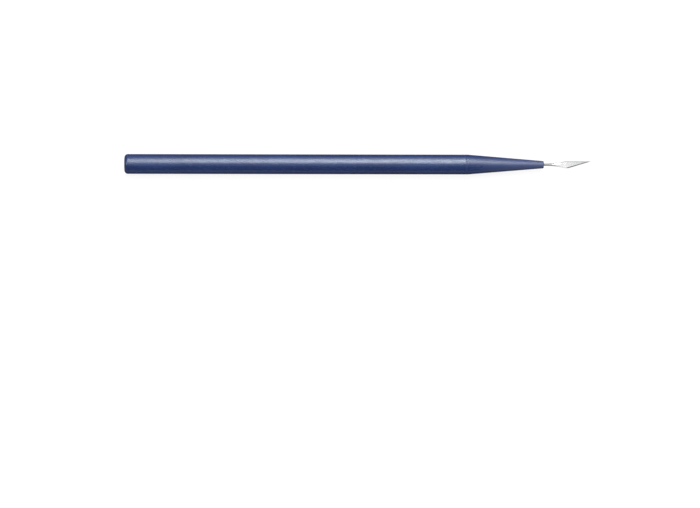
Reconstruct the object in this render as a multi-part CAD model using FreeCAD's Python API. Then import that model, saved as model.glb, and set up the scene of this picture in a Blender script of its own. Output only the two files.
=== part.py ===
import FreeCAD, Part

import math
import os

# Stab knife for eye surgery: a wire blade moulded into a plain plastic handle.
# All sizes are in millimetres. The knife lies along X with its tip at +X.
# The origin is the middle of the rear end face. +Y is the side of the blunt
# spine, and the flat faces of the blade look along +Z and -Z.

# Handle
handle_length = 127.0
handle_diameter = 6.0
rear_edge_radius = 1.0
cone_length = 23.0
cone_blend_radius = 6.0
nose_diameter = 2.2
nose_edge_radius = 0.3

# Blade, from the nose of the handle to the tip
wire_diameter = 0.7
bare_wire_length = 0.5
fan_length = 5.9
land_length = 1.08
lance_width = 2.05
edge_angle = 16.5
bevel_width = 0.27
heel_radius = 2.9

# Tang, the end of the wire inside the handle
tang_wire_length = 10.0
paddle_width = 1.05
paddle_length = 3.0
paddle_taper_length = 1.0

# The pressed parts of the wire are drawn through this many sections.
fan_section_count = 9
taper_section_count = 4

# Room left around a piece by the tools that trim it
trim_room = 1.0


def vec(x, y, z=0.0):
    return FreeCAD.Vector(x, y, z)


def corner_points(before, corner, after, radius):
    """Start, middle and end of the arc that rounds a corner."""
    if radius == 0:
        return [corner]
    to_before = (before - corner).normalize()
    to_after = (after - corner).normalize()
    half_angle = to_before.getAngle(to_after) / 2
    reach = radius / math.tan(half_angle)
    bisector = (to_before + to_after).normalize()
    centre = corner + bisector * (radius / math.sin(half_angle))
    return [corner + to_before * reach, centre - bisector * radius, corner + to_after * reach]


def rounded_face(corners):
    """Flat face inside a closed outline, given as pairs of corner and radius."""
    count = len(corners)
    arcs = []
    for i, (corner, radius) in enumerate(corners):
        before = corners[i - 1][0]
        after = corners[(i + 1) % count][0]
        arcs.append(corner_points(before, corner, after, radius))
    edges = []
    for i, arc in enumerate(arcs):
        if len(arc) == 3:
            edges.append(Part.Arc(*arc).toShape())
        next_arc = arcs[(i + 1) % count]
        edges.append(Part.LineSegment(arc[-1], next_arc[0]).toShape())
    return Part.Face(Part.Wire(edges))


def pressed_half_thickness(half_width):
    """Half thickness of the wire pressed out to a width.

    Pressing keeps the area of the section, which has flat faces and round sides.
    """
    radius = wire_diameter / 2
    root = math.sqrt(4 * half_width**2 - (4 - math.pi) * math.pi * radius**2)
    return (2 * half_width - root) / (4 - math.pi)


def pressed_section(x, half_width, side_angle):
    """Closed section of the pressed wire at x, made of two sides and two faces.

    Each side is an arc that turns through side_angle both ways from level. At
    45 degrees the round wire has four equal arcs. At 90 degrees the faces are
    flat, and in between they are crowned and meet the sides smoothly.
    """
    half_thickness = pressed_half_thickness(half_width)
    turn = math.radians(side_angle)
    flat = side_angle >= 90
    side_radius = half_thickness
    if not flat:
        excess = (half_width - half_thickness) / (math.cos(turn) + math.sin(turn) - 1)
        side_radius = half_thickness - excess * (1 - math.sin(turn))
    join_y = half_width - side_radius * (1 - math.cos(turn))
    join_z = side_radius * math.sin(turn)

    def face(sign):
        start = vec(x, sign * join_y, sign * join_z)
        end = vec(x, -sign * join_y, sign * join_z)
        if flat:
            return Part.LineSegment(start, end)
        return Part.Arc(start, vec(x, 0, sign * half_thickness), end)

    def side(sign):
        start = vec(x, sign * join_y, -sign * join_z)
        end = vec(x, sign * join_y, sign * join_z)
        return Part.Arc(start, vec(x, sign * half_width, 0), end)

    curves = [side(1), face(1), side(-1), face(-1)]
    return Part.Wire([curve.toShape() for curve in curves])


def pressed_wire(start_x, end_x, end_width, count):
    """Wire that is round at start_x and spreads to end_width at end_x.

    Each side of the spread is an arc that leaves the round wire along its line.
    """
    length = end_x - start_x
    radius = wire_diameter / 2
    rise = end_width / 2 - radius
    sweep_radius = (length**2 + rise**2) / (2 * rise)
    sections = []
    for i in range(count):
        share = i / (count - 1)
        run = share * length
        half_width = radius + sweep_radius - math.sqrt(sweep_radius**2 - run**2)
        side_angle = 45 + 45 * math.sin(math.radians(90 * share))
        sections.append(pressed_section(start_x + run, half_width, side_angle))
    return Part.makeLoft(sections, True)


def pressed_plate(start_x, end_x, width):
    """Plate of constant section, with flat faces and round sides."""
    section = Part.Face(pressed_section(start_x, width / 2, 90))
    return section.extrude(vec(end_x - start_x, 0))


def grind_wedge(tip, heel, half_thickness, up):
    """What one flat grind along the edge takes from the upper or lower face.

    The ground plane passes through the edge, and cuts the face bevel_width in.
    """
    along = (heel - tip).normalize()
    inwards = vec(along.y, -along.x)
    rise = up * half_thickness / bevel_width

    def on_plane(depth):
        return tip - along * trim_room + inwards * depth + vec(0, 0, rise * depth)

    outer = on_plane(-trim_room)
    inner = on_plane(bevel_width + trim_room)
    clear = vec(outer.x, outer.y, inner.z)
    section = Part.Face(Part.makePolygon([outer, inner, clear, outer]))
    length = (heel - tip).Length + land_length + 2 * trim_room
    return section.extrude(along * length)


def make_lance(start_x, heel_x, tip_x):
    """Pressed plate with its edge ground to a point at the level of the spine."""
    spine_y = lance_width / 2
    land_y = -spine_y
    tip = vec(tip_x, spine_y)
    heel = vec(heel_x, land_y)
    past_tip = tip + (tip - heel).normalize() * trim_room

    # Only the land and the edge trim the plate. The other sides stand clear of it.
    plan = rounded_face([
        (vec(start_x - trim_room, land_y), 0),
        (heel, heel_radius),
        (past_tip, 0),
        (vec(start_x - trim_room, past_tip.y), 0),
    ])
    plan.translate(vec(0, 0, -trim_room))
    lance = pressed_plate(start_x, tip_x, lance_width).common(plan.extrude(vec(0, 0, 2 * trim_room)))

    half_thickness = pressed_half_thickness(spine_y)
    for up in (1, -1):
        lance = lance.cut(grind_wedge(tip, heel, half_thickness, up))
    return lance


def make_blade():
    """One length of stainless wire: paddle, tang, fan and lance."""
    nose_x = handle_length
    wire_start = nose_x - tang_wire_length
    paddle_end = wire_start - paddle_taper_length
    fan_start = nose_x + bare_wire_length
    shoulder_x = fan_start + fan_length
    heel_x = shoulder_x + land_length
    tip_x = heel_x + lance_width / math.tan(math.radians(edge_angle))

    wire = Part.makeCylinder(wire_diameter / 2, fan_start - wire_start, vec(wire_start, 0), vec(1, 0))
    taper = pressed_wire(wire_start, paddle_end, paddle_width, taper_section_count)
    paddle = pressed_plate(paddle_end, paddle_end - paddle_length, paddle_width)
    fan = pressed_wire(fan_start, shoulder_x, lance_width, fan_section_count)
    lance = make_lance(shoulder_x, heel_x, tip_x)
    return wire.multiFuse([taper, paddle, fan, lance])


def make_handle(blade):
    """Solid round moulding with a conical nose, closed tightly on the tang."""
    radius = handle_diameter / 2
    corners = [
        (vec(0, 0), 0),
        (vec(0, radius), rear_edge_radius),
        (vec(handle_length - cone_length, radius), cone_blend_radius),
        (vec(handle_length, nose_diameter / 2), nose_edge_radius),
        (vec(handle_length, 0), 0),
    ]
    body = rounded_face(corners).revolve(vec(0, 0), vec(1, 0), 360)
    return body.cut(blade)


def write_node(name, shape):
    print(name, len(shape.Solids), "solid,", round(shape.Volume, 4), "mm3, valid", shape.isValid())
    shape.exportStep(os.path.join("parts", name + ".step"))


os.makedirs("parts", exist_ok=True)
blade = make_blade()
write_node("blade", blade)
write_node("handle", make_handle(blade))
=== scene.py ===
import math

import bmesh
import bpy
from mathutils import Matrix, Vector


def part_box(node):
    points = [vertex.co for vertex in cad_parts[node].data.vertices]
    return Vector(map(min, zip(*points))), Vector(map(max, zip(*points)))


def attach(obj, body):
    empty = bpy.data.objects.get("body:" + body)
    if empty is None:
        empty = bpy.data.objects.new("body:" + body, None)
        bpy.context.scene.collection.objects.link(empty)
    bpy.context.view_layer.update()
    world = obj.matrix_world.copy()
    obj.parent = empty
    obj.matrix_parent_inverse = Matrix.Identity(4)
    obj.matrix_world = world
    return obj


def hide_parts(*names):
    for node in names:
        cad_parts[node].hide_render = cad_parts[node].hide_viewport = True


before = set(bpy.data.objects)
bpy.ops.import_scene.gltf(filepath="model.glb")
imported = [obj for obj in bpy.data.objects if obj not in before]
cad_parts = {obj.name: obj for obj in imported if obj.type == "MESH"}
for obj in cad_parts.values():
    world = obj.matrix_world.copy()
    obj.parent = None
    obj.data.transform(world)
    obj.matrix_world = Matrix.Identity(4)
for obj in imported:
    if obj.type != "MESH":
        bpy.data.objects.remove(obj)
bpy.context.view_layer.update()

# Sizes of the knife. Lengths in millimetres become metres by this factor.
MM = 0.001

handle_low, handle_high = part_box("handle")
blade_low, blade_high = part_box("blade")
handle_length = handle_high[0]
handle_radius = (handle_high[1] - handle_low[1]) / 2
tip_x = blade_high[0]
tang_x = blade_low[0]

rear_edge_radius = 1.0 * MM
cone_length = 23.0 * MM
cone_blend_radius = 6.0 * MM
nose_radius = 1.1 * MM
nose_edge_radius = 0.3 * MM

wire_radius = 0.35 * MM
bare_wire_length = 0.5 * MM
fan_length = 5.9 * MM
lance_width = 2.05 * MM
edge_angle = math.radians(16.5)
bevel_width = 0.27 * MM
# Width of the faces, next to their round sides, that the pressing dies don't reach
border_width = 0.07 * MM
# Narrowest that border is drawn, where the grind cuts it away
least_border_width = 0.002 * MM
heel_radius = 2.9 * MM
paddle_width = 1.05 * MM
paddle_length = 3.0 * MM
paddle_taper_length = 1.0 * MM

# Places along the blade, from its buried end to the tip. The wire has its pressed
# finish from pressed_x on. Sections lie closer around the heel and near the tip.
paddle_end_x = tang_x + paddle_length
wire_start_x = paddle_end_x + paddle_taper_length
fan_start_x = handle_length + bare_wire_length
shoulder_x = fan_start_x + fan_length
pressed_x = shoulder_x - 2.5 * MM
heel_x = tip_x - lance_width / math.tan(edge_angle)
heel_end_x = heel_x + 0.5 * MM
point_x = tip_x - 1.2 * MM

# Line round the handle, where the cone of the mould meets its cylinder
mould_line_x = handle_length - cone_length - 0.4 * MM
mould_line_half_width = 0.15 * MM
mould_line_fade_end = 0.35 * MM

# How finely the skins are drawn: steps over each side and face of the blade,
# sections along its stretches, steps over each rounding of the handle's outline,
# and sides around the handle
side_step_count = 20
face_step_count = 10
taper_section_count = 10
wire_section_count = 6
fan_section_count = 48
heel_section_count = 44
edge_section_count = 24
point_section_count = 30
handle_arc_step_count = 16
handle_side_count = 160

# Edges sharper than these stay crisp
blade_crease_angle = math.radians(12)
handle_crease_angle = math.radians(30)
# Faces that turn less than this lie in one plane
level_angle = math.radians(0.5)

# The finishes of the blade, in the order of its materials
SATIN, GROUND, DRAWN = range(3)


def linear(hex_colour):
    """sRGB hex colour as linear RGBA."""
    channels = [int(hex_colour[i:i + 2], 16) / 255 for i in (1, 3, 5)]
    return [c / 12.92 if c <= 0.04045 else ((c + 0.055) / 1.055) ** 2.4 for c in channels] + [1.0]


def add(tree, kind, settings=None, links=None, **values):
    """Adds a node. links go by socket name or number to another node's output."""
    node = tree.nodes.new(kind)
    for name, value in (settings or {}).items():
        setattr(node, name, value)
    for name, value in values.items():
        node.inputs[name.replace("_", " ")].default_value = value
    for socket, source in (links or {}).items():
        tree.links.new(source, node.inputs[socket])
    return node


def baked(piece):
    """Turns the piece's modifiers into plain mesh and takes them off."""
    depsgraph = bpy.context.evaluated_depsgraph_get()
    mesh = bpy.data.meshes.new_from_object(piece.evaluated_get(depsgraph), depsgraph=depsgraph)
    piece.modifiers.clear()
    piece.data = mesh
    return piece


def new_piece(name, mesh=None):
    """Object at the origin of the scene, around a mesh or an empty one."""
    piece = bpy.data.objects.new(name, mesh or bpy.data.meshes.new(name))
    bpy.context.scene.collection.objects.link(piece)
    return piece


def smooth_with_creases(piece, crease_angle):
    """Smooth shading with crisp edges over crease_angle.

    Two finishes that meet in one plane are kept apart, so that a flat stays flat
    up to its border.
    """
    skin = bmesh.new()
    skin.from_mesh(piece.data)
    for edge in skin.edges:
        if len(edge.link_faces) == 2:
            first, second = edge.link_faces
            angle = edge.calc_face_angle(0)
            two_finishes = first.material_index != second.material_index
            edge.smooth = angle < crease_angle and not (two_finishes and angle < level_angle)
    skin.to_mesh(piece.data)
    skin.free()
    weighted = piece.modifiers.new("flats", "WEIGHTED_NORMAL")
    weighted.keep_sharp = True
    return baked(piece)


# Blade: one wire, pressed flat at both ends and ground to an edge


def pressed_half_thickness(half_width):
    """Half thickness of the wire pressed to a width, its section's area kept."""
    root = math.sqrt(4 * half_width**2 - (4 - math.pi) * math.pi * wire_radius**2)
    return (2 * half_width - root) / (4 - math.pi)


def arc_angles(turn):
    """Even steps along a side, from turn above level to turn below it."""
    return [turn * (1 - 2 * i / side_step_count) for i in range(side_step_count + 1)]


def steps(start, end, count):
    """Even steps from start that stop one short of end."""
    return [start + (end - start) * i / count for i in range(count)]


def face_steps(start, end, end_border=border_width):
    """Places across a face, between its ends, with a narrow border step at both."""
    even = abs(end - start) / face_step_count
    first = math.copysign(min(border_width, even), end - start)
    last = math.copysign(min(end_border, even), end - start)
    return steps(start + first, end - last, face_step_count - 2) + [end - last]


def pressed_ring(half_width, turn):
    """Section of the pressed wire as (y, z) points, round by the +Y side first.

    Each side is an arc of turn above and below level. The faces between them
    are crowned, and flat where turn is a right angle.
    """
    half_thickness = pressed_half_thickness(half_width)
    flat = turn > math.pi / 2 - 1e-6
    excess = 0 if flat else (half_width - half_thickness) / (math.cos(turn) + math.sin(turn) - 1)
    side_radius = half_thickness - excess * (1 - math.sin(turn))
    side_y = half_width - side_radius
    face_radius = side_radius + excess
    join_y = side_y + side_radius * math.cos(turn)

    def face_z(y):
        if flat:
            return half_thickness
        return math.sqrt(face_radius**2 - y**2) - excess * math.sin(turn)

    side = [(side_y + side_radius * math.cos(a), side_radius * math.sin(a)) for a in arc_angles(turn)]
    under = [(y, -face_z(y)) for y in face_steps(join_y, -join_y)]
    return side + under + [(-y, -z) for y, z in side] + [(-y, -z) for y, z in under]


def spread_ring(x, round_x, flat_x, flat_half_width):
    """Ring where the wire spreads, its sides leaving the round wire along arcs."""
    length = flat_x - round_x
    rise = flat_half_width - wire_radius
    sweep_radius = (length**2 + rise**2) / (2 * rise)
    run = x - round_x
    half_width = wire_radius + sweep_radius - math.sqrt(sweep_radius**2 - run**2)
    turn = math.pi / 4 * (1 + math.sin(math.pi / 2 * run / length))
    return pressed_ring(half_width, turn)


def outline_y(x):
    """Lower outline of the lance in plan: land, rounded heel and edge."""
    land_y = -lance_width / 2
    arc_x = heel_x - heel_radius * math.tan(edge_angle / 2)
    if x <= arc_x:
        return land_y
    if x < arc_x + heel_radius * math.sin(edge_angle):
        return land_y + heel_radius - math.sqrt(heel_radius**2 - (x - arc_x) ** 2)
    return edge_y(x)


def edge_y(x):
    """Line of the edge, carried on behind the heel."""
    return lance_width / 2 - (tip_x - x) * math.tan(edge_angle)


def lance_ring(x):
    """Section of the lance: round spine, flat faces, and a round or ground side."""
    half_thickness = pressed_half_thickness(lance_width / 2)
    side_y = lance_width / 2 - half_thickness
    bevel_run = bevel_width / half_thickness / math.cos(edge_angle)

    def spine(z):
        return side_y + math.sqrt(max(half_thickness**2 - z**2, 0))

    def lower(z):
        return max(-spine(z), edge_y(x) + abs(z) * bevel_run, outline_y(x))

    # Near the tip the two grinds meet the spine before they reach the faces. Halving
    # a range of heights again and again finds where.
    top = half_thickness
    if lower(top) > spine(top):
        low = 0.0
        for _ in range(50):
            middle = (low + top) / 2
            if lower(middle) > spine(middle):
                top = middle
            else:
                low = middle
    levels = [top * math.sin(a) for a in arc_angles(math.pi / 2)]
    side = [(spine(z), z) for z in levels]
    # The border beside the land keeps its inner end, and the grind eats it from outside
    border_end_y = -lance_width / 2 + half_thickness + border_width
    lower_border = max(border_end_y - lower(top), least_border_width)
    under = [(y, -top) for y in face_steps(spine(top), lower(top), lower_border)]
    over = [(y, -z) for y, z in reversed(under)]
    return side + under + [(lower(z), z) for z in reversed(levels)] + over


def blade_rings():
    """Every section of the blade as (x, ring), from the buried end to the tip."""
    lance_half_width = lance_width / 2
    paddle_half_width = paddle_width / 2
    rings = [(x, pressed_ring(paddle_half_width, math.pi / 2)) for x in (tang_x, paddle_end_x)]
    for x in steps(paddle_end_x, wire_start_x, taper_section_count)[1:]:
        rings.append((x, spread_ring(x, wire_start_x, paddle_end_x, paddle_half_width)))
    for x in steps(wire_start_x, fan_start_x, wire_section_count):
        rings.append((x, pressed_ring(wire_radius, math.pi / 4)))
    for x in steps(fan_start_x, shoulder_x, fan_section_count):
        rings.append((x, spread_ring(x, fan_start_x, shoulder_x, lance_half_width)))
    for start, end, count in (
            (shoulder_x, heel_end_x, heel_section_count),
            (heel_end_x, point_x, edge_section_count),
            (point_x, tip_x, point_section_count)):
        for x in steps(start, end, count):
            rings.append((x, lance_ring(x)))
    rings.append((tip_x, lance_ring(tip_x)))
    return rings


def make_blade(materials):
    """The blade's skin, with a material for each way its surface was made."""
    skin = bmesh.new()
    rows = [[skin.verts.new((x, y, z)) for y, z in ring] for x, ring in blade_rings()]
    lower_from = side_step_count + face_step_count
    lower_to = lower_from + side_step_count
    for row, following in zip(rows, rows[1:]):
        for i in range(len(row)):
            j = (i + 1) % len(row)
            face = skin.faces.new((row[i], row[j], following[j], following[i]))
            x = face.calc_center_median().x
            # The round side at the spine, and the border of each face beside it
            by_spine = i <= side_step_count or i == len(row) - 1
            on_lower_side = lower_from <= i < lower_to
            # The grind takes over the lower side once half its width lies within the lance
            ground = x > shoulder_x and edge_y(x) > -lance_width / 2 - bevel_width / 2
            if ground and on_lower_side:
                face.material_index = GROUND
            # The spine side takes the grey drawn skin, partly painted shade, and the side below takes the
            # bright satin of the faces: painted light
            elif x < fan_start_x or by_spine:
                face.material_index = DRAWN
            else:
                face.material_index = SATIN
    skin.faces.new(rows[0])
    bmesh.ops.remove_doubles(skin, verts=skin.verts, dist=1e-8)
    bmesh.ops.recalc_face_normals(skin, faces=skin.faces)
    for face in skin.faces:
        face.smooth = True
    mesh = bpy.data.meshes.new("blade_skin")
    skin.to_mesh(mesh)
    skin.free()
    for material in materials:
        mesh.materials.append(material)
    return smooth_with_creases(new_piece("blade_skin", mesh), blade_crease_angle)


# Handle: a profile turned about the knife's axis


def turned_handle_tree():
    """Geometry Nodes that turn the handle's outline, with its sizes as inputs."""
    tree = bpy.data.node_groups.new("turned_handle", "GeometryNodeTree")
    sockets = {}
    lengths = ("Length", "Radius", "Rear edge", "Cone length", "Cone blend", "Nose radius", "Nose edge")
    for kind, names in (("Float", lengths), ("Int", ("Arc steps", "Sides")), ("Material", ("Plastic",))):
        for name in names:
            sockets[name] = tree.interface.new_socket(name, in_out="INPUT", socket_type="NodeSocket" + kind)
    tree.interface.new_socket("Moulding", in_out="OUTPUT", socket_type="NodeSocketGeometry")
    size = tree.nodes.new("NodeGroupInput").outputs

    def difference(first, second):
        return add(tree, "ShaderNodeMath", {"operation": "SUBTRACT"}, {0: first, 1: second}).outputs[0]

    def by_index(kind, choices):
        """Value for each corner of the outline, in order along it."""
        switch = add(tree, "GeometryNodeIndexSwitch", {"data_type": kind})
        for _ in choices[2:]:
            switch.index_switch_items.new()
        tree.links.new(add(tree, "GeometryNodeInputIndex").outputs[0], switch.inputs[0])
        for socket, choice in zip(switch.inputs[1:], choices):
            if choice is not None:
                tree.links.new(choice, socket)
        return switch.outputs[0]

    def corner(out, along):
        """Outline corner: how far out from the wall of the cylinder, and how far along."""
        links = {}
        if out is not None:
            links["X"] = out
        if along is not None:
            links["Y"] = along
        return add(tree, "ShaderNodeCombineXYZ", links=links).outputs[0]

    axis = add(tree, "ShaderNodeMath", {"operation": "MULTIPLY"}, {0: size["Radius"]})
    axis.inputs[1].default_value = -1
    cone_start = difference(size["Length"], size["Cone length"])
    nose_out = difference(size["Nose radius"], size["Radius"])
    corners = [
        corner(axis.outputs[0], None),
        corner(None, None),
        corner(None, cone_start),
        corner(nose_out, size["Length"]),
        corner(axis.outputs[0], size["Length"]),
    ]
    radii = [None, size["Rear edge"], size["Cone blend"], size["Nose edge"], None]

    line = add(tree, "GeometryNodeMeshLine", Count=len(corners))
    outline = add(tree, "GeometryNodeMeshToCurve", links={"Mesh": line.outputs[0]})
    placed = add(tree, "GeometryNodeSetPosition", links={
        "Geometry": outline.outputs[0], "Position": by_index("VECTOR", corners)})
    rounded = add(tree, "GeometryNodeFilletCurve", {"mode": "POLY"}, {
        "Curve": placed.outputs[0], "Count": size["Arc steps"], "Radius": by_index("FLOAT", radii)})
    circle = add(tree, "GeometryNodeCurvePrimitiveCircle", links={
        "Resolution": size["Sides"], "Radius": size["Radius"]})
    level = add(tree, "GeometryNodeSetCurveNormal", {"mode": "Z_UP"}, {"Curve": circle.outputs[0]})
    turned = add(tree, "GeometryNodeCurveToMesh", links={
        "Curve": level.outputs[0], "Profile Curve": rounded.outputs[0]})
    closed = add(tree, "GeometryNodeMergeByDistance", links={"Geometry": turned.outputs[0]}, Distance=1e-7)
    laid = add(tree, "GeometryNodeTransform", links={"Geometry": closed.outputs[0]})
    laid.inputs["Rotation"].default_value = (0, -math.pi / 2, 0)
    smooth = add(tree, "GeometryNodeSetShadeSmooth", links={"Geometry": laid.outputs[0]})
    real = add(tree, "GeometryNodeRealizeInstances", links={"Geometry": smooth.outputs[0]})
    clad = add(tree, "GeometryNodeSetMaterial", links={
        "Geometry": real.outputs[0], "Material": size["Plastic"]})
    add(tree, "NodeGroupOutput", links={0: clad.outputs[0]})
    return tree, sockets


def make_handle(plastic, blade):
    """The moulding, turned and then hollowed to the form of the tang."""
    tree, sockets = turned_handle_tree()
    piece = new_piece("handle_moulding")
    turning = piece.modifiers.new("turning", "NODES")
    turning.node_group = tree
    sizes = {
        "Length": handle_length,
        "Radius": handle_radius,
        "Rear edge": rear_edge_radius,
        "Cone length": cone_length,
        "Cone blend": cone_blend_radius,
        "Nose radius": nose_radius,
        "Nose edge": nose_edge_radius,
        "Arc steps": handle_arc_step_count,
        "Sides": handle_side_count,
        "Plastic": plastic,
    }
    for name, value in sizes.items():
        turning[sockets[name].identifier] = value
    baked(piece)
    hollow = piece.modifiers.new("tang", "BOOLEAN")
    hollow.operation = "DIFFERENCE"
    hollow.solver = "EXACT"
    hollow.object = blade
    baked(piece)
    # The walls of the hollow are plastic too
    for face in piece.data.polygons:
        face.material_index = 0
    return smooth_with_creases(piece, handle_crease_angle)


# Finishes


def new_material(name):
    """Empty material with its shader and the piece's own coordinates."""
    material = bpy.data.materials.new(name)
    material.use_nodes = True
    tree = material.node_tree
    tree.nodes.clear()
    shader = add(tree, "ShaderNodeBsdfPrincipled")
    add(tree, "ShaderNodeOutputMaterial", links={"Surface": shader.outputs[0]})
    return material, tree, shader, add(tree, "ShaderNodeTexCoord").outputs["Object"]


def stretched_noise(tree, place, size, turn=0.0, **settings):
    """Noise whose lumps have the given lengths along X, Y and Z, turned about Z."""
    turned = add(tree, "ShaderNodeMapping", links={"Vector": place}, Rotation=(0, 0, -turn))
    scaled = add(tree, "ShaderNodeMapping", links={"Vector": turned.outputs[0]},
                 Scale=[1 / length for length in size])
    noise = add(tree, "ShaderNodeTexNoise", links={"Vector": scaled.outputs[0]}, Scale=1.0, **settings)
    return noise.outputs[0]


def ranged(tree, source, low, high, from_low=0.3, from_high=0.7):
    """Value that goes from low to high while the source goes from from_low to from_high.

    Noise mostly stays between 0.3 and 0.7.
    """
    return add(tree, "ShaderNodeMapRange", links={"Value": source},
               From_Min=from_low, From_Max=from_high, To_Min=low, To_Max=high).outputs[0]


def total(tree, sources):
    """Sum of several sources."""
    result = sources[0]
    for source in sources[1:]:
        result = add(tree, "ShaderNodeMath", {"operation": "ADD"}, {0: result, 1: source}).outputs[0]
    return result


def bumps(tree, shader, heights):
    """Relief as a chain of (height source, depth) pairs."""
    normal = None
    for source, depth in heights:
        links = {"Height": source}
        if normal is not None:
            links["Normal"] = normal
        normal = add(tree, "ShaderNodeBump", links=links, Strength=1.0, Distance=depth).outputs[0]
    tree.links.new(normal, shader.inputs["Normal"])


def blended(tree, share, first, second):
    """Colour between two others, which are hex colours or come from another node."""
    mix = add(tree, "ShaderNodeMix", {"data_type": "RGBA"}, {"Factor": share})
    for socket, colour in ((mix.inputs["A"], first), (mix.inputs["B"], second)):
        if isinstance(colour, str):
            socket.default_value = linear(colour)
        else:
            tree.links.new(colour, socket)
    return mix.outputs["Result"]


def graded(tree, shader, along, shades):
    """Base colour that runs along the knife through shades, given by their place on X."""
    start, end = min(shades), max(shades)
    share = ranged(tree, along, 0, 1, from_low=start, from_high=end)
    ramp = add(tree, "ShaderNodeValToRGB", links={0: share})
    stops = ramp.color_ramp.elements
    for _ in range(len(shades) - len(stops)):
        stops.new(1)
    for stop, (x, shade) in zip(stops, shades.items()):
        stop.position = (x - start) / (end - start)
        stop.color = linear(shade)
    tree.links.new(ramp.outputs["Color"], shader.inputs["Base Color"])


def navy_plastic():
    """ABS moulded in navy, from a mould with a fine spark-eroded skin.

    The skin spreads a lamp into a satin stripe. Melt flowing along the handle
    leaves long, low waves, and they break the stripe into streaky blotches. Seen
    at a slant, the pits shade each other, so the rims lose their gloss. Where the
    cone of the mould meets its cylinder, a duller line runs round the handle.
    Towards the nose the plastic is made duller, and its colour is painted paler
    there: painted sheen, for the stripe spreading over the thin cone.
    """
    material, tree, shader, place = new_material("navy_satin_abs")
    shader.inputs["IOR"].default_value = 1.53
    shader.inputs["Specular Tint"].default_value = linear("#eef6fd")
    # The waves of the melt and the clouds in its colour have their real size
    flow = stretched_noise(tree, place, (2.6 * MM, 0.5 * MM, 0.5 * MM), Detail=2.0)
    # Spark-eroded grain is about 0.05 mm across, drawn here at 0.35 mm so that it shows
    grain = stretched_noise(tree, place, (0.35 * MM, 0.35 * MM, 0.35 * MM), Detail=2.0)
    clouds = stretched_noise(tree, place, (14 * MM, 2.5 * MM, 2.5 * MM), Detail=1.0)
    along = add(tree, "ShaderNodeSeparateXYZ", links={0: place}).outputs["X"]
    nose = ranged(tree, along, 0, 1, from_low=handle_length - cone_length, from_high=handle_length)
    body = blended(tree, ranged(tree, clouds, 0, 1), "#1d2c56", "#223460")
    # Paler colour towards the nose is painted sheen, for the stripe spreading over the thin cone
    tree.links.new(blended(tree, nose, body, "#40486b"), shader.inputs["Base Color"])
    slant = add(tree, "ShaderNodeLayerWeight", Blend=0.5).outputs["Facing"]
    gloss = ranged(tree, slant, 0.5, 0.05, from_low=0.2, from_high=0.42)
    tree.links.new(gloss, shader.inputs["Specular IOR Level"])
    from_line = add(tree, "ShaderNodeMath", {"operation": "SUBTRACT"}, {0: along})
    from_line.inputs[1].default_value = mould_line_x
    apart = add(tree, "ShaderNodeMath", {"operation": "ABSOLUTE"}, {0: from_line.outputs[0]}).outputs[0]
    skin = ranged(tree, flow, 0.22, 0.3)
    duller_line = ranged(tree, apart, 0.15, 0, mould_line_half_width, mould_line_fade_end)
    duller_rim = ranged(tree, slant, 0, 0.5, from_low=0.4, from_high=0.7)
    duller_nose = ranged(tree, nose, 0, 0.2, from_low=0, from_high=1)
    roughness = total(tree, [skin, duller_line, duller_rim, duller_nose])
    tree.links.new(roughness, shader.inputs["Roughness"])
    bumps(tree, shader, [(flow, 0.012 * MM), (grain, 0.006 * MM)])
    return material


def satin_steel():
    """Stainless wire pressed flat between polished dies, which leave a pale satin.

    The dull grey of the drawn wire brightens as it is spread, up to the shoulder.
    The faces are almost white there. The greys from the shoulder to the tip are painted shade: the flats
    darken towards the tip, as a reflection would.
    """
    material, tree, shader, place = new_material("pressed_satin_stainless")
    shader.inputs["Metallic"].default_value = 1.0
    along = add(tree, "ShaderNodeSeparateXYZ", links={0: place}).outputs["X"]
    # From the shoulder to the tip the greys are painted shade, darker towards the tip
    graded(tree, shader, along, {
        fan_start_x: "#989a98",
        fan_start_x + 2 * MM: "#a8aaa8",
        pressed_x: "#dcdcdc",
        shoulder_x: "#e2e2e2",
        heel_x: "#d6d6d6",
        heel_x + 4 * MM: "#c2c4c4",
        tip_x: "#b2b4b4",
    })
    # Pressing leaves pits near 0.02 mm across, drawn here at 0.12 mm so that they show
    pits = stretched_noise(tree, place, (0.12 * MM, 0.12 * MM, 0.12 * MM), Detail=2.0)
    drawn_skin = ranged(tree, along, 0.55, 0, from_low=fan_start_x + 1.5 * MM, from_high=pressed_x)
    roughness = total(tree, [ranged(tree, pits, 0.12, 0.17), drawn_skin])
    tree.links.new(roughness, shader.inputs["Roughness"])
    bumps(tree, shader, [(pits, 0.001 * MM)])
    return material


def ground_steel():
    """Stainless ground to an edge, with fine lines across the edge.

    The ground face leans away from the flat, so it looks a clear grey beside it.
    Its colour is painted darkest at the heel and paler towards the tip: painted
    shade, for a reflection that darkens by the heel.
    """
    material, tree, shader, place = new_material("ground_stainless")
    shader.inputs["Metallic"].default_value = 1.0
    # Grinding lines are near 0.01 mm apart, drawn here at 0.08 mm so that they show
    lines = stretched_noise(tree, place, (0.08 * MM, 1.2 * MM, 1.2 * MM), edge_angle, Detail=2.0)
    along = add(tree, "ShaderNodeSeparateXYZ", links={0: place}).outputs["X"]
    # Darkest at the heel, paler at the tip: painted shade
    graded(tree, shader, along, {heel_x: "#8a8a8c", heel_x + 3 * MM: "#bcbcbe", tip_x: "#e2e2e4"})
    tree.links.new(ranged(tree, lines, 0.28, 0.36), shader.inputs["Roughness"])
    bumps(tree, shader, [(lines, 0.0003 * MM)])
    return material


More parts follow.
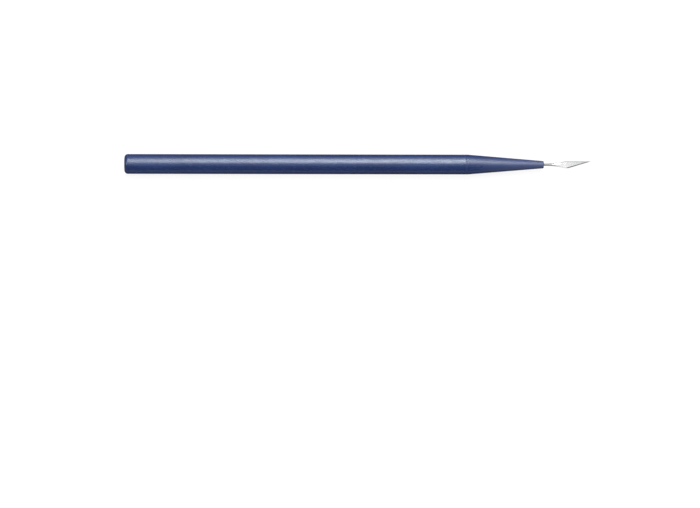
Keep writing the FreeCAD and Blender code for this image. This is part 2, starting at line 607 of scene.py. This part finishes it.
def drawn_steel():
    """Stainless wire as drawn through a die: a dull grey skin with faint lines along it.

    The dies never touch the spine and the borders beside it, so they keep this skin
    as a grey line, which is partly the wire's own skin and partly painted shade on
    the round side. The side below is given the bright satin of the faces instead:
    painted light, which keeps the lower side pale.
    """
    material, tree, shader, place = new_material("drawn_stainless")
    shader.inputs["Metallic"].default_value = 1.0
    # Drawing lines are near 0.01 mm apart, drawn here at 0.08 mm so that they show
    lines = stretched_noise(tree, place, (3 * MM, 0.08 * MM, 0.08 * MM), Detail=2.0)
    greys = blended(tree, ranged(tree, lines, 0, 1), "#8e908e", "#9ea09e")
    tree.links.new(greys, shader.inputs["Base Color"])
    tree.links.new(ranged(tree, lines, 0.7, 0.78), shader.inputs["Roughness"])
    bumps(tree, shader, [(lines, 0.001 * MM)])
    return material


# Studio: white floor and surroundings, soft lamps, and a camera straight above


def white_floor():
    """Level floor under the knife, which renders white and keeps a soft shadow."""
    floor_half_width = 8.0
    # Paint lit by the lamps, and the glow that lifts it to white
    paint_grey = 0.18
    glow_strength = 0.84
    level = -handle_radius
    mesh = bpy.data.meshes.new("floor")
    corners = [(x * floor_half_width, y * floor_half_width, level)
               for x, y in ((-1, -1), (1, -1), (1, 1), (-1, 1))]
    mesh.from_pydata(corners, [], [(0, 1, 2, 3)])
    floor = new_piece("floor", mesh)
    material = bpy.data.materials.new("white_table")
    material.use_nodes = True
    tree = material.node_tree
    tree.nodes.clear()
    paint = add(tree, "ShaderNodeBsdfDiffuse", Color=(paint_grey, paint_grey, paint_grey, 1))
    rays = add(tree, "ShaderNodeLightPath").outputs
    seen = rays["Is Camera Ray"]
    for kind in ("Is Glossy Ray", "Is Transmission Ray"):
        seen = add(tree, "ShaderNodeMath", {"operation": "MAXIMUM"}, {0: seen, 1: rays[kind]}).outputs[0]
    share = add(tree, "ShaderNodeMath", {"operation": "MULTIPLY"}, {0: seen})
    share.inputs[1].default_value = glow_strength
    glow = add(tree, "ShaderNodeEmission", links={"Strength": share.outputs[0]}, Color=(1, 1, 1, 1))
    both = add(tree, "ShaderNodeAddShader", links={0: paint.outputs[0], 1: glow.outputs[0]})
    add(tree, "ShaderNodeOutputMaterial", links={"Surface": both.outputs[0]})
    mesh.materials.append(material)


def studio_surroundings():
    """White below and at the horizon, fading to a dim ceiling."""
    white_level, ceiling_level = 1.0, 0.15
    fade_start, fade_end = math.sin(math.radians(1.5)), math.sin(math.radians(6))
    world = bpy.data.worlds.new("studio")
    world.use_nodes = True
    tree = world.node_tree
    tree.nodes.clear()
    place = add(tree, "ShaderNodeTexCoord").outputs["Generated"]
    height = add(tree, "ShaderNodeSeparateXYZ", links={0: place}).outputs["Z"]
    level = ranged(tree, height, white_level, ceiling_level, fade_start, fade_end)
    light = add(tree, "ShaderNodeBackground", links={"Strength": level}, Color=(1, 1, 1, 1))
    add(tree, "ShaderNodeOutputWorld", links={"Surface": light.outputs[0]})
    bpy.context.scene.world = world


def soft_lamp(name, towards, spread, level):
    """Sun lamp in the given direction, its spread in degrees.

    A level of 1 lights a white surface facing it to 1.
    """
    sun = bpy.data.lights.new(name, "SUN")
    sun.angle = math.radians(spread)
    sun.energy = level * math.pi
    lamp = bpy.data.objects.new(name, sun)
    lamp.rotation_euler = Vector(towards).to_track_quat("Z", "Y").to_euler()
    bpy.context.scene.collection.objects.link(lamp)


def lamp_arc():
    """Small lamps side by side in an arc across the knife, which lay a stripe along it."""
    levels = (0.12, 0.17, 0.21, 0.195, 0.15, 0.065, 0.03, 0.03)
    first_tilt, tilt_step = 15, 10
    lean_to_tip = 0.06
    for i, level in enumerate(levels):
        tilt = math.radians(first_tilt + tilt_step * i)
        towards = (lean_to_tip, math.sin(tilt), math.cos(tilt))
        soft_lamp("arc_lamp_" + str(i + 1), towards, spread=16, level=level)


def camera_above():
    """Camera looking straight down, framed as in the photograph."""
    camera = bpy.data.cameras.new("camera")
    camera.lens = 200
    camera.sensor_width = 36
    camera.clip_end = 100
    width_seen = 212.1 * MM
    centre = Vector((68.36 * MM, -27.17 * MM))
    roll = math.radians(0.104)
    height = width_seen * camera.lens / camera.sensor_width
    placed = bpy.data.objects.new("camera", camera)
    placed.location = (centre.x, centre.y, height)
    placed.rotation_euler = (0, 0, roll)
    bpy.context.scene.collection.objects.link(placed)
    bpy.context.scene.camera = placed


blade_piece = make_blade([satin_steel(), ground_steel(), drawn_steel()])
handle_piece = make_handle(navy_plastic(), blade_piece)

for piece, node in ((handle_piece, "handle"), (blade_piece, "blade")):
    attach(piece, "root")
    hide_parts(node)

white_floor()
studio_surroundings()
lamp_arc()
# A broad lamp overhead, and a panel and a spot beyond each end of the knife
soft_lamp("fill_lamp", (0, 0.17, 0.98), spread=60, level=0.23)
soft_lamp("rear_panel", (-0.64, 0.55, 0.53), spread=40, level=0.08)
soft_lamp("rear_spot", (-0.64, 0.05, 0.77), spread=20, level=0.22)
soft_lamp("front_panel", (0.68, -0.6, 0.42), spread=40, level=0.08)
soft_lamp("front_spot", (0.68, -0.1, 0.73), spread=20, level=0.22)
camera_above()

bpy.context.scene.view_settings.view_transform = "Standard"
